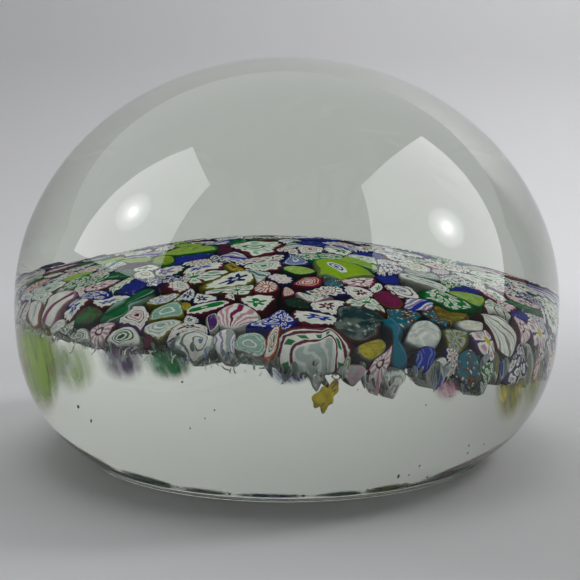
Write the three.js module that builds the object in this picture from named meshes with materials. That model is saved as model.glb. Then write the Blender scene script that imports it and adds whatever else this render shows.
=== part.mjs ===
// Scrambled millefiori paperweight: a clear glass dome cased over a carpet of cane chips.
// Millimetres, +Z up, origin at the middle of the flat foot, +Y towards the back.
// Two glass gathers enclose the carpet: the base gather, which picked the chips up,
// and the crown gather, which was cased over them.
import * as THREE from 'three';
import * as BufferGeometryUtils from 'three/addons/utils/BufferGeometryUtils.js';

// Glass outline
const bodyRadius = 40;
const equatorHeight = 22.1;
const domeRise = 35.9;
const footRadius = 29;
const footBevel = 0.6;
const sideRoundness = 2.6;      // exponent of the curve between the widest line and the foot
const glassSegments = 72;

// Cane carpet: a domed disc that leans a little to the right
const carpetRadius = 28;
const carpetCrownHeight = 26.6;
const carpetRimHeight = 20.5;
const carpetThickness = 4.4;
const carpetLean = Math.tan(THREE.MathUtils.degToRad(1.2));

// Fits between fused pieces
const caneGap = 0.3;
const glassGap = 0.6;
const seamHeight = 12.5;
const leanStart = 1;             // above the seam, where the glass begins to follow the lean
const leanReach = 0.01;
const curveSteps = { cavity: 9, plinth: 8, dome: 16, crownSide: 5, baseSide: 7 };

// Every chip that is large or distinct enough to be placed on its own: x, y, radius, colour.
const placedCanes = {
  lime_oval_cane: [5.2, -8.6, 2.6, 0x9fc62a],
  lilac_ringed_cane: [0.4, -5.2, 1.8, 0x8fa3c4],
  amethyst_cane: [-6.8, -1.2, 2.1, 0x2c1230],
  white_eye_cane: [-3.0, -0.8, 1.7, 0xd8e0cf],
  lime_shard_cane: [-12.2, -3.6, 1.7, 0x86b43a],
  lime_band_cane: [10.6, -2.4, 2.3, 0xb9d94f],
  blue_star_cane: [-6.2, -9.6, 2.1, 0x3b4f9c],
  white_cog_cane: [-0.9, -9.4, 1.8, 0xe4d9dc],
  red_ring_cane: [1.9, -12.4, 1.5, 0xa62c3a],
  orange_cog_cane: [-2.3, -12.6, 1.6, 0xc8502a],
  coral_cog_cane: [0.0, -15.2, 1.5, 0xb64a3c],
  green_star_cane: [-3.0, -16.4, 1.7, 0x2e8a4a],
  green_leaf_cane: [-9.6, -18.0, 1.8, 0x1f7a45],
  star_pair_cane: [-6.4, -14.4, 1.7, 0x4f4aa0],
  pink_ribbed_cane: [-5.6, -20.2, 2.0, 0xd29ab0],
  purple_dot_cane: [-8.6, -22.6, 1.7, 0x6a4a94],
  cobalt_flower_cane: [-2.0, -20.8, 1.9, 0x27348f],
  arched_stripe_cane: [4.3, -24.8, 3.1, 0x8e1d3a],
  orange_stripe_cane: [-1.4, -25.2, 1.7, 0xc7702c],
  teal_speckle_cane: [8.6, -20.6, 2.5, 0x1d5a5c],
  teal_rod_cane: [12.2, -22.4, 1.9, 0x2a7f86],
  yellow_eye_cane: [9.2, -25.0, 1.6, 0xd8b53a],
  frosted_cane: [15.6, -21.6, 1.8, 0xd5dcda],
  cobalt_disc_cane: [14.6, -17.4, 1.8, 0x23409a],
  yellow_daisy_cane: [18.9, -18.6, 2.2, 0x6f7f93],
  white_petal_cane: [22.4, -14.2, 2.4, 0xe6e2d8],
  green_cluster_cane: [14.4, -12.4, 2.0, 0x4c9a6a],
  magenta_cane: [10.6, -14.6, 1.7, 0x8c1f55],
  teal_scroll_cane: [11.2, -8.6, 1.8, 0x3d8f93],
  mint_oval_cane: [-13.2, -18.2, 1.9, 0x9fd3bc],
  mint_lobe_cane: [-12.8, -22.2, 1.8, 0x86c2ad],
  green_rod_cane: [-17.2, -13.6, 2.3, 0x14603f],
  green_arch_cane: [-18.4, -18.2, 2.0, 0x5f9f6c],
  maroon_cane: [-16.0, -21.8, 1.6, 0x4a1022],
  cobalt_bloom_cane: [-20.2, -7.8, 2.0, 0x2c46a2],
  pink_rod_cane: [-24.0, -5.6, 1.9, 0xdc9fb4],
};
const bundleCount = 22;         // the rest of the chips, fused into larger bundles
const bundleRadius = 3.6;
const bundleSpread = 0.92;      // share of the carpet that their first places cover
const bundleColours = [0x6f86b8, 0x8a3a4c, 0x3f7f62, 0xb9b4a6, 0x54447f, 0xa8743e];

const glassColour = 0xd9e4dc;
const goldenAngle = Math.PI * (3 - Math.sqrt(5));
const relaxRounds = 40;
const rimSides = 48;

// Heights of the carpet

function carpetTop(x, y) {
  const fall = (carpetCrownHeight - carpetRimHeight) * (x * x + y * y) / carpetRadius ** 2;
  return carpetCrownHeight - fall - carpetLean * x;
}

function carpetSlope(x, y) {
  const pull = -2 * (carpetCrownHeight - carpetRimHeight) / carpetRadius ** 2;
  return [pull * x - carpetLean, pull * y];
}

// Glass outline: an ellipse above the widest line, a squarer curve below it

function glassRadius(z) {
  if (z >= equatorHeight) {
    return bodyRadius * Math.sqrt(Math.max(0, 1 - ((z - equatorHeight) / domeRise) ** 2));
  }
  const reach = (1 - (footRadius / bodyRadius) ** sideRoundness) ** (1 / sideRoundness);
  const depth = (equatorHeight - z) * reach / equatorHeight;
  return bodyRadius * (1 - depth ** sideRoundness) ** (1 / sideRoundness);
}

function outerCurve(fromZ, toZ, steps) {
  const points = [];
  for (let i = 0; i <= steps; i += 1) {
    const z = fromZ + (toZ - fromZ) * Math.sin((i / steps) * Math.PI / 2);
    points.push(new THREE.Vector2(glassRadius(z), z));
  }
  return points;
}

// The carpet's own curve, raised or lowered, from its rim to the axis
function carpetCurve(radius, offset, steps) {
  const points = [];
  for (let i = 0; i <= steps; i += 1) {
    const r = radius * (1 - i / steps);
    const fall = (carpetCrownHeight - carpetRimHeight) * (r / carpetRadius) ** 2;
    points.push(new THREE.Vector2(r, carpetCrownHeight + offset - fall));
  }
  return points;
}

// Turn an outline and lean the part of it that faces the carpet
function turnedGlass(name, outline, innerRadius) {
  const geometry = new THREE.LatheGeometry(outline, glassSegments);
  const position = geometry.getAttribute('position');
  geometry.rotateX(Math.PI / 2);
  for (let i = 0; i < position.count; i += 1) {
    const x = position.getX(i);
    const z = position.getZ(i);
    if (Math.hypot(x, position.getY(i)) < innerRadius + leanReach && z > seamHeight + leanStart) {
      position.setZ(i, z - carpetLean * x);
    }
  }
  geometry.deleteAttribute('normal');
  geometry.deleteAttribute('uv');
  const material = new THREE.MeshStandardMaterial({
    color: glassColour, roughness: 0.03, metalness: 0, transparent: true, opacity: 0.35,
  });
  const mesh = new THREE.Mesh(BufferGeometryUtils.mergeVertices(geometry, 1e-4), material);
  mesh.name = name;
  return mesh;
}

function crownGather() {
  const cavityRadius = carpetRadius + glassGap;
  const bottom = seamHeight + caneGap;
  const outline = [
    ...carpetCurve(cavityRadius, glassGap, curveSteps.cavity).reverse(),
    new THREE.Vector2(cavityRadius, bottom),
    ...outerCurve(equatorHeight, bottom, curveSteps.crownSide).reverse(),
    ...outerCurve(equatorHeight, equatorHeight + domeRise, curveSteps.dome).slice(1),
  ];
  outline[0].x = 0;
  outline[outline.length - 1].x = 0;
  return turnedGlass('crown_gather', outline, cavityRadius);
}

function baseGather() {
  const under = -carpetThickness - glassGap;
  const outline = [
    new THREE.Vector2(0, 0),
    new THREE.Vector2(footRadius - footBevel, 0),
    ...outerCurve(footBevel, seamHeight, curveSteps.baseSide),
    new THREE.Vector2(carpetRadius, seamHeight),
    ...carpetCurve(carpetRadius, under, curveSteps.plinth),
  ];
  outline[outline.length - 1].x = 0;
  return turnedGlass('base_gather', outline, carpetRadius);
}

// Cells: each cane keeps the ground that is nearer to it than to any other, allowing for size

function clipped(polygon, nx, ny, limit) {
  const kept = [];
  polygon.forEach((point, i) => {
    const next = polygon[(i + 1) % polygon.length];
    const here = point[0] * nx + point[1] * ny - limit;
    const there = next[0] * nx + next[1] * ny - limit;
    if (here <= 0) kept.push(point);
    if (here < 0 !== there < 0) {
      const t = here / (here - there);
      kept.push([point[0] + (next[0] - point[0]) * t, point[1] + (next[1] - point[1]) * t]);
    }
  });
  return kept;
}

function cellOf(site, sites, inset) {
  let polygon = [];
  for (let i = 0; i < rimSides; i += 1) {
    const turn = (i / rimSides) * 2 * Math.PI;
    polygon.push([carpetRadius * Math.cos(turn), carpetRadius * Math.sin(turn)]);
  }
  for (const other of sites) {
    if (other === site) continue;
    const dx = other.x - site.x;
    const dy = other.y - site.y;
    const apart = Math.hypot(dx, dy);
    const reach = (apart + (site.radius ** 2 - other.radius ** 2) / apart) / 2;
    const nx = dx / apart;
    const ny = dy / apart;
    polygon = clipped(polygon, nx, ny, site.x * nx + site.y * ny + reach - inset);
  }
  return polygon;
}

function centroid(polygon) {
  let area = 0;
  let cx = 0;
  let cy = 0;
  polygon.forEach(([x, y], i) => {
    const [nextX, nextY] = polygon[(i + 1) % polygon.length];
    const cross = x * nextY - nextX * y;
    area += cross;
    cx += (x + nextX) * cross;
    cy += (y + nextY) * cross;
  });
  return [cx / (3 * area), cy / (3 * area)];
}

function caneSites() {
  const sites = Object.entries(placedCanes).map(([name, [x, y, radius, colour]]) => (
    { name, x, y, radius, colour }));
  const bundles = [];
  for (let i = 0; i < bundleCount; i += 1) {
    const r = carpetRadius * bundleSpread * Math.sqrt((i + 0.5) / bundleCount);
    const colour = bundleColours[i % bundleColours.length];
    const name = `cane_bundle_${String(i + 1).padStart(2, '0')}`;
    bundles.push({ name, x: r * Math.cos(i * goldenAngle), y: r * Math.sin(i * goldenAngle),
      radius: bundleRadius, colour });
  }
  sites.push(...bundles);
  for (let round = 0; round < relaxRounds; round += 1) {
    for (const bundle of bundles) {
      const cell = cellOf(bundle, sites, 0);
      if (cell.length > 2) [bundle.x, bundle.y] = centroid(cell);
    }
  }
  return sites;
}

// A cane is a prism of its cell, cut to the carpet's slope at top and bottom
function caneMesh(site, sites) {
  const cell = cellOf(site, sites, caneGap / 2);
  const [cx, cy] = centroid(cell);
  const [slopeX, slopeY] = carpetSlope(cx, cy);
  const sides = cell.length;
  const corners = [];
  for (const drop of [carpetThickness, 0]) {
    for (const [x, y] of cell) {
      const top = carpetTop(cx, cy) + slopeX * (x - cx) + slopeY * (y - cy);
      corners.push(x, y, top - drop);
    }
  }
  const faces = [];
  for (let i = 0; i < sides; i += 1) {
    const next = (i + 1) % sides;
    faces.push(i, next, sides + next, i, sides + next, sides + i);
  }
  for (let i = 1; i < sides - 1; i += 1) {
    faces.push(0, i + 1, i, sides, sides + i, sides + i + 1);
  }
  const geometry = new THREE.BufferGeometry();
  geometry.setAttribute('position', new THREE.Float32BufferAttribute(corners, 3));
  geometry.setIndex(faces);
  geometry.computeVertexNormals();
  const material = new THREE.MeshStandardMaterial({
    color: site.colour, roughness: 0.25, metalness: 0,
  });
  const mesh = new THREE.Mesh(geometry, material);
  mesh.name = site.name;
  return mesh;
}

const paperweight = new THREE.Group();
paperweight.add(baseGather());
const sites = caneSites();
for (const site of sites) paperweight.add(caneMesh(site, sites));
paperweight.add(crownGather());

export default paperweight;
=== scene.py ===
import math
import bmesh
import bpy
import numpy as np
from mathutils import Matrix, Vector


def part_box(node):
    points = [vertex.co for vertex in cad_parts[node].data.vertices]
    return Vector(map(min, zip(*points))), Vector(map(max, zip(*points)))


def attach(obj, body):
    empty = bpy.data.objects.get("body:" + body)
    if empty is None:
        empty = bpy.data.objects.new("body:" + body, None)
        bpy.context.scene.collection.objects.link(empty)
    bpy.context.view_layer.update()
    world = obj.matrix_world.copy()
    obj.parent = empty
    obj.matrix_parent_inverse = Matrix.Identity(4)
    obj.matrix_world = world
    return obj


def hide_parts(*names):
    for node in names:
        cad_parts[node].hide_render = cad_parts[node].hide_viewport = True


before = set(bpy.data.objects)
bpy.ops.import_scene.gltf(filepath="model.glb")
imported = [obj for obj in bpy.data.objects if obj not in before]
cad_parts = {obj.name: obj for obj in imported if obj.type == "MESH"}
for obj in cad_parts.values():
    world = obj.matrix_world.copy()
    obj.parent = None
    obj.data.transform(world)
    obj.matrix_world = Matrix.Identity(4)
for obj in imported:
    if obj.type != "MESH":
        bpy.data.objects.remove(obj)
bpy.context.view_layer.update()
millimetre = 0.001
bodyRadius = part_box("crown_gather")[1].x
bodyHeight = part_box("crown_gather")[1].z
print("frame loaded,", len(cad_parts), "nodes")


# colours, as they are mixed on a screen

def linear(red, green, blue):
    def channel(value):
        value = value / 255
        return value / 12.92 if value <= 0.04045 else ((value + 0.055) / 1.055) ** 2.4
    return (channel(red), channel(green), channel(blue), 1.0)


glassInks = {
    "milk": linear(224, 227, 221),
    "cream": linear(200, 194, 172),
    "frost": linear(160, 174, 171),
    "smoke": linear(98, 112, 106),
    "mint": linear(134, 178, 162),
    "lime": linear(138, 176, 36),
    "paleLime": linear(156, 184, 100),
    "olive": linear(122, 120, 34),
    "yellow": linear(196, 180, 50),
    "green": linear(20, 120, 60),
    "bottle": linear(20, 62, 46),
    "teal": linear(22, 106, 126),
    "deepTeal": linear(28, 56, 60),
    "cobalt": linear(30, 48, 158),
    "navy": linear(30, 34, 92),
    "sky": linear(104, 126, 174),
    "lilac": linear(138, 130, 178),
    "purple": linear(78, 42, 104),
    "amethyst": linear(50, 28, 54),
    "magenta": linear(122, 28, 84),
    "rose": linear(194, 140, 162),
    "maroon": linear(94, 28, 50),
    "red": linear(160, 44, 50),
    "orange": linear(182, 86, 42),
    "brown": linear(90, 60, 36),
    "black": linear(32, 28, 34),
}


# node workshop, for materials and for Geometry Nodes alike

class Value:
    def __init__(self, bench, link):  # wraps a socket; arithmetic on it adds Math nodes
        self.bench = bench
        self.link = link

    def maths(self, operation, *others):
        return self.bench.add("ShaderNodeMath", {"operation": operation}, [self, *others])

    def __add__(self, other):
        return self.maths("ADD", other)

    def __mul__(self, other):
        return self.maths("MULTIPLY", other)

    def __sub__(self, other):
        return self.maths("SUBTRACT", other)

    def __rsub__(self, other):
        return self.bench.add("ShaderNodeMath", {"operation": "SUBTRACT"}, [other, self])

    def __truediv__(self, other):
        return self.maths("DIVIDE", other)

    def __rtruediv__(self, other):
        return self.bench.add("ShaderNodeMath", {"operation": "DIVIDE"}, [other, self])

    def __pow__(self, other):
        return self.maths("POWER", other)

    __radd__ = __add__
    __rmul__ = __mul__


class Bench:
    def __init__(self, tree):
        self.tree = tree
        tree.nodes.clear()

    def add(self, kind, settings=None, inputs=(), output=0):
        node = self.tree.nodes.new(kind)
        for key, value in (settings or {}).items():
            setattr(node, key, value)
        pairs = inputs.items() if isinstance(inputs, dict) else enumerate(inputs)
        for key, value in pairs:
            if isinstance(value, Value):
                self.tree.links.new(value.link, node.inputs[key])
            else:
                node.inputs[key].default_value = value
        return Value(self, node.outputs[output]) if len(node.outputs) else None

    def attribute(self, name, output="Vector"):
        return self.add("ShaderNodeAttribute", {"attribute_name": name}, output=output)

    def vector(self, operation, *inputs):
        return self.add("ShaderNodeVectorMath", {"operation": operation}, inputs)

    def split(self, vector):
        return [self.add("ShaderNodeSeparateXYZ", inputs=[vector], output=axis) for axis in "XYZ"]

    def join(self, *parts):
        return self.add("ShaderNodeCombineXYZ", inputs=parts)

    def noise(self, place, scale, detail=2.0, output="Fac"):
        pins = {"Vector": place, "Scale": scale, "Detail": detail}
        return self.add("ShaderNodeTexNoise", inputs=pins, output=output)

    def mix(self, factor, first, second):
        pins = {0: factor, 6: first, 7: second}
        return self.add("ShaderNodeMix", {"data_type": "RGBA"}, pins, 2)

    def past(self, value, edge, soft=0.025):  # 0 below the edge, 1 above it
        pins = {0: value - edge, 1: -soft, 2: soft}
        return self.add("ShaderNodeMapRange", {"interpolation_type": "SMOOTHSTEP"}, pins)

    def between(self, value, low, high, soft=0.02):
        return self.past(value, low, soft) * (1 - self.past(value, high, soft))

    def rings(self, value, colour, rows, soft=0.025):  # each ink covers all that is past its edge
        for edge, ink in rows:
            colour = self.mix(self.past(value, edge, soft), colour, ink)
        return colour


def materialBench(name):
    material = bpy.data.materials.new(name)
    material.use_nodes = True
    return material, Bench(material.node_tree)


def finished(bench, shader, **others):
    bench.add("ShaderNodeOutputMaterial", inputs={"Surface": shader, **others})


def treeBench(name, sizes):  # a Geometry Nodes tree with one named input for each size
    tree = bpy.data.node_groups.new(name, "GeometryNodeTree")
    tree.is_modifier = True
    tree.interface.new_socket(name="Geometry", in_out="OUTPUT", socket_type="NodeSocketGeometry")
    for label, value in sizes.items():
        kind = "NodeSocketInt" if isinstance(value, int) else "NodeSocketFloat"
        tree.interface.new_socket(name=label, in_out="INPUT", socket_type=kind)
    bench = Bench(tree)
    given = tree.nodes.new("NodeGroupInput")
    return bench, {label: Value(bench, given.outputs[label]) for label in sizes}


def grown(name, bench, geometry, material, sizes):  # runs the tree and keeps the plain mesh
    whole = bench.add("GeometryNodeRealizeInstances", inputs=[geometry])
    whole = bench.add("GeometryNodeSetMaterial", inputs={"Geometry": whole, "Material": material})
    bench.add("NodeGroupOutput", inputs=[whole])
    maker = bpy.data.objects.new(name, bpy.data.meshes.new(name + "_start"))
    bpy.context.scene.collection.objects.link(maker)
    modifier = maker.modifiers.new(name, "NODES")
    modifier.node_group = bench.tree
    for socket in bench.tree.interface.items_tree:
        if socket.in_out == "INPUT":
            modifier[socket.identifier] = sizes[socket.name]
    evaluated = maker.evaluated_get(bpy.context.evaluated_depsgraph_get())
    mesh = bpy.data.meshes.new_from_object(evaluated)
    mesh.name = name
    bpy.data.objects.remove(maker)
    return mesh


def placed(name, mesh, nodes=()):
    piece = bpy.data.objects.new(name, mesh)
    bpy.context.scene.collection.objects.link(piece)
    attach(piece, "root")
    if nodes:
        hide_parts(*nodes)
    return piece


def store(mesh, name, kind, field, values):
    layer = mesh.attributes.new(name, kind, "POINT")
    layer.data.foreach_set(field, np.asarray(values, dtype=np.float32).ravel())


def smoothMesh(name, points, faces):
    mesh = bpy.data.meshes.new(name)
    mesh.from_pydata(points, [], faces)
    mesh.polygons.foreach_set("use_smooth", [True] * len(mesh.polygons))
    return mesh


def storeCane(mesh, cane, melt, inkNames):  # the place within the cane, its melting and its inks
    store(mesh, "cane", "FLOAT_VECTOR", "vector", cane)
    store(mesh, "melt", "FLOAT", "value", melt)
    for letter, ink in zip("ABCD", inkNames.split()):
        shade = np.tile(glassInks[ink], (len(cane), 1))
        store(mesh, "ink" + letter, "FLOAT_COLOR", "color", shade)


def storeFigure(mesh, petals, turn, size):
    figure = np.tile((petals, turn, size), (len(mesh.vertices), 1))
    store(mesh, "figure", "FLOAT_VECTOR", "vector", figure)


def dullSurface(bench, colour, alpha=1.0, roughness=0.5):  # canes in the glass have no shine
    pins = {"Base Color": colour, "Roughness": roughness, "Specular IOR Level": 0.0, "Alpha": alpha}
    finished(bench, bench.add("ShaderNodeBsdfPrincipled", inputs=pins))


# glass body

glassBody = {
    "Radius": bodyRadius, "Height": bodyHeight, "Equator": 22.1 * millimetre,
    "Foot radius": 29 * millimetre, "Foot bevel": 0.6 * millimetre, "Side power": 2.6,
    "Segments": 192, "Rings": 160,
}
glassLook = {"index": 1.52, "tint": (0.765, 0.81, 0.725, 1.0), "density": 17.0, "striae": 55.0}
profileShare = {"side": 0.62, "edge": 0.74}  # how the rings below the equator are shared out


def growGlass(material):
    bench, size = treeBench("turned_glass", glassBody)
    ball = bench.add("GeometryNodeMeshUVSphere", inputs={
        "Segments": size["Segments"], "Rings": size["Rings"], "Radius": 1.0})
    x, y, z = bench.split(bench.add("GeometryNodeInputPosition"))
    latitude = z.maths("ARCSINE")
    level = latitude.maths("COSINE")
    above = z.maths("GREATER_THAN", 0.0)
    domeRadius = size["Radius"] * level
    domeHeight = size["Equator"] + (size["Height"] - size["Equator"]) * z

    down = latitude * (-2 / math.pi)
    power = size["Side power"]
    narrow = (size["Foot radius"] / size["Radius"]) ** power
    reach = (1 - narrow) ** (1 / power)
    side = (down / profileShare["side"]).maths("MINIMUM", 1.0).maths("MAXIMUM", 0.0)
    bevelShare = size["Foot bevel"] / size["Equator"]
    sunk = side * (1 - bevelShare)
    sideRadius = size["Radius"] * (1 - (sunk * reach) ** power) ** (1 / power)
    sideHeight = size["Equator"] * (1 - sunk)
    edgeSpan = profileShare["edge"] - profileShare["side"]
    edge = ((down - profileShare["side"]) / edgeSpan).maths("MINIMUM", 1.0).maths("MAXIMUM", 0.0)
    edge = edge * (math.pi / 2)
    foot = ((down - profileShare["edge"]) / (1 - profileShare["edge"])).maths("MAXIMUM", 0.0)
    edgeRadius = sideRadius - size["Foot bevel"] * (1 - edge.maths("COSINE"))
    lowRadius = edgeRadius * (1 - foot)
    lowHeight = sideHeight - size["Foot bevel"] * edge.maths("SINE")
    radius = lowRadius + (domeRadius - lowRadius) * above
    height = lowHeight + (domeHeight - lowHeight) * above
    position = bench.join(x / level * radius, y / level * radius, height)
    body = bench.add("GeometryNodeSetPosition", inputs={"Geometry": ball, "Position": position})
    body = bench.add("GeometryNodeSetShadeSmooth", inputs=[body])
    return grown("glass_body", bench, body, material, glassBody)


def clearGlass():
    material, bench = materialBench("clear_glass")
    place = bench.add("ShaderNodeTexCoord", output="Object")
    striae = bench.noise(place, glassLook["striae"], 1.0)
    bump = bench.add("ShaderNodeBump", inputs={
        "Strength": 0.02, "Distance": 0.002, "Height": striae})
    shader = bench.add("ShaderNodeBsdfPrincipled", inputs={
        "Base Color": (1.0, 1.0, 1.0, 1.0), "Roughness": 0.0, "IOR": glassLook["index"],
        "Transmission Weight": 1.0, "Normal": bump})
    tint = bench.add("ShaderNodeVolumeAbsorption", inputs={
        "Color": glassLook["tint"], "Density": glassLook["density"]})
    finished(bench, shader, Volume=tint)
    return material


placed("glass_body", growGlass(clearGlass()), ["crown_gather", "base_gather"])
print("glass body turned")


# cane patterns: each takes the place within the cane and four inks, from the core outwards

def paintStar(bench, place, inks):
    edge = place["lobes"] * place["size"] * 0.13 + place["size"] * 0.34
    colour = bench.mix(bench.past(place["radius"], edge), inks[0], inks[1])
    colour = bench.mix(bench.between(place["radius"], 0.05, 0.12), colour, inks[1])
    wavy = 0.05 * place["teeth"] + 0.68
    colour = bench.mix(bench.between(place["radius"], wavy, wavy + 0.045), colour, inks[2])
    return bench.mix(bench.past(place["radius"], 0.05 * place["teeth"] + 0.86), colour, inks[3])


def paintCog(bench, place, inks):
    rows = [(0.13, inks[1]), (0.24, inks[0]), (0.36, inks[1])]
    colour = bench.rings(place["radius"], inks[2], rows)
    colour = bench.mix(bench.between(place["radius"], 0.46, 0.52), colour, inks[2])
    spokes = bench.past(place["lobes"], 0.55, 0.15) * bench.between(place["radius"], 0.56, 0.78)
    colour = bench.mix(spokes, colour, inks[2])
    return bench.mix(bench.past(place["radius"], 0.07 * place["lobes"] + 0.84), colour, inks[3])


def paintRings(bench, place, inks):
    colour = inks[0]
    order = [(0.17, 1), (0.27, 2), (0.37, 1), (0.47, 0), (0.53, 1), (0.69, 2), (0.73, 1)]
    for edge, ink in order:
        bent = place["size"] * edge + 0.02 * place["lobes"]
        colour = bench.mix(bench.past(place["radius"], bent, 0.018), colour, inks[ink])
    return bench.mix(bench.past(place["radius"], 0.04 * place["teeth"] + 0.87), colour, inks[3])


def paintCluster(bench, place, inks):
    pins = {"Vector": place["cane"], "Scale": 2.6, "Randomness": 0.5}
    settings = {"voronoi_dimensions": "2D", "feature": "F1"}
    distance = bench.add("ShaderNodeTexVoronoi", settings, pins, "Distance")
    rows = [(0.1, inks[0]), (0.19, inks[2]), (0.24, inks[1]), (0.41, inks[3])]
    colour = bench.rings(distance, inks[2], rows)
    return bench.mix(bench.past(place["radius"], 0.93), colour, inks[3])


def paintRibs(bench, place, inks):
    colour = bench.mix(bench.past(place["lobes"], 0.15, 0.25), inks[1], inks[0])
    colour = bench.mix(1 - bench.past(place["radius"], 0.32), colour, inks[2])
    colour = bench.mix(1 - bench.past(place["radius"], 0.18), colour, inks[1])
    return bench.mix(bench.past(place["radius"], 0.05 * place["lobes"] + 0.86), colour, inks[3])


def paintThreads(bench, place, inks):
    wave = (place["across"] * 17.0 + place["radius"] * 2.5).maths("SINE")
    colour = bench.mix(bench.past(wave, 0.35, 0.2), inks[3], inks[1])
    slow = (place["across"] * 4.0 + 1.0).maths("SINE")
    colour = bench.mix(bench.past(slow, 0.75, 0.1), colour, inks[2])
    return bench.mix(bench.past(place["radius"], 0.92), colour, inks[0])


def paintScroll(bench, place, inks):
    band = (place["radius"] * 2.6 - place["turn"] / (2 * math.pi)).maths("FRACT")
    colour = bench.mix(bench.between(band, 0.3, 0.52, 0.05), inks[1], inks[0])
    colour = bench.mix(1 - bench.past(place["radius"], 0.14), colour, inks[2])
    return bench.mix(bench.past(place["radius"], 0.05 * place["teeth"] + 0.88), colour, inks[3])


def paintPetals(bench, place, inks):
    outline = bench.past(place["lobes"], 0.86, 0.05)
    colour = bench.mix(outline, inks[1], inks[3])
    inner = bench.between(place["radius"], 0.42, 0.74, 0.06)
    inner = inner * bench.past(-0.1 - place["lobes"], 0.0, 0.12)
    colour = bench.mix(inner, colour, inks[2])
    colour = bench.mix(1 - bench.past(place["radius"], 0.2), colour, inks[0])
    return bench.mix(bench.past(place["radius"], 0.9 - 0.05 * place["lobes"]), colour, inks[3])


def paintEye(bench, place, inks):
    across = place["across"] * 1.5 - 0.3
    along = place["along"] + 0.1
    distance = (across * across + along * along).maths("SQRT")
    colour = inks[0]
    for edge, ink in [(0.4, 1), (0.28, 2), (0.2, 1), (0.1, 2)]:
        colour = bench.mix(1 - bench.past(distance, edge), colour, inks[ink])
    return bench.mix(bench.past(place["radius"], 0.95), colour, inks[3])


def paintPlain(bench, place, inks):
    pins = {"Vector": place["cane"], "Scale": 1.6, "Detail": 3.0, "Distortion": 1.4}
    streak = bench.add("ShaderNodeTexNoise", inputs=pins)
    colour = bench.mix(bench.past(streak, 0.5, 0.2), inks[0], inks[1])
    colour = bench.mix(bench.past(streak, 0.62, 0.03) * 0.7, colour, inks[2])
    return bench.mix(bench.past(place["radius"], 0.88), colour, inks[3])


def paintSpeckle(bench, place, inks):
    pins = {"Vector": place["cane"], "Scale": 4.2, "Randomness": 1.0}
    distance = bench.add("ShaderNodeTexVoronoi", {"feature": "F1"}, pins, "Distance")
    cloud = bench.noise(place["cane"], 2.2)
    colour = bench.mix(bench.past(cloud, 0.52, 0.1), inks[0], inks[2])
    speck = (1 - bench.past(distance, 0.26, 0.08)) * bench.past(cloud, 0.44, 0.08)
    colour = bench.mix(speck, colour, inks[1])
    return bench.mix(bench.past(place["radius"], 0.93), colour, inks[3])


def paintArch(bench, place, inks):  # arches round a clear threaded core
    low = place["along"] + 0.55
    distance = (place["across"] * place["across"] + low * low * 0.62).maths("SQRT")
    threads = (place["across"] * 19.0 + place["along"] * 4.0).maths("SINE")
    colour = bench.mix(bench.past(threads, 0.55, 0.3) * 0.55, inks[0], inks[1])
    cells = (place["turn"] * 9.0).maths("SINE")
    dashes = bench.mix(bench.past(cells, 0.2, 0.1), inks[1], inks[3])
    arches = [(0.60, inks[1]), (0.65, inks[2]), (0.73, inks[1]), (0.76, dashes),
              (0.90, inks[1]), (0.94, inks[2]), (1.03, inks[1]), (1.08, inks[2])]
    return bench.rings(distance, colour, arches, 0.015)


def paintFeather(bench, place, inks):  # white blades with fine dark edges, all curving one way
    bent = place["across"] + place["along"] * place["along"] * 0.35 + place["along"] * 0.3
    blade = (bent * 2.3 + 0.35).maths("FRACT")
    colour = inks[1]
    for low, high, ink in [(0.06, 0.13, 2), (0.15, 0.24, 0), (0.27, 0.31, 2), (0.6, 0.63, 3)]:
        colour = bench.mix(bench.between(blade, low, high), colour, inks[ink])
    return bench.mix(bench.past(place["radius"], 0.92), colour, inks[3])


def paintFan(bench, place, inks):  # pleats that open from the lower edge
    spread = place["across"].maths("ARCTAN2", place["along"] + 1.3)
    pleats = (spread * 26.0).maths("COSINE")
    colour = bench.mix(bench.past(pleats, 0.0, 0.5), inks[1], inks[0])
    core = 1 - bench.past((spread * spread).maths("SQRT"), 0.16, 0.05)
    colour = bench.mix(core * bench.past(pleats, 0.1, 0.3), colour, inks[2])
    wavy = 0.9 + 0.05 * pleats
    return bench.mix(bench.past(place["radius"], wavy), colour, inks[3])


def paintRod(bench, place, inks):  # a smooth rod lying on its side, with painted shading towards both edges and painted highlights along it
    bent = place["across"] + place["along"] * place["along"] * 0.25
    # painted shading: the outer ink at both edges of the rod, here and on the last line
    colour = bench.mix(bench.past(bent, -0.45, 0.3), inks[3], inks[0])
    # painted highlight: a streak in the second ink along the rod
    colour = bench.mix(bench.between(bent, -0.1, 0.2, 0.16) * 0.8, colour, inks[1])
    # painted highlight: a thin crescent in the third ink
    colour = bench.mix(bench.between(bent, 0.3, 0.36, 0.04), colour, inks[2])
    return bench.mix(bench.past(bent, 0.62, 0.2), colour, inks[3])


caneLook = {"bend": 0.34, "ripple": 0.10, "cloud": 0.54, "base": 0.52, "seam": 0.65}


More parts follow.
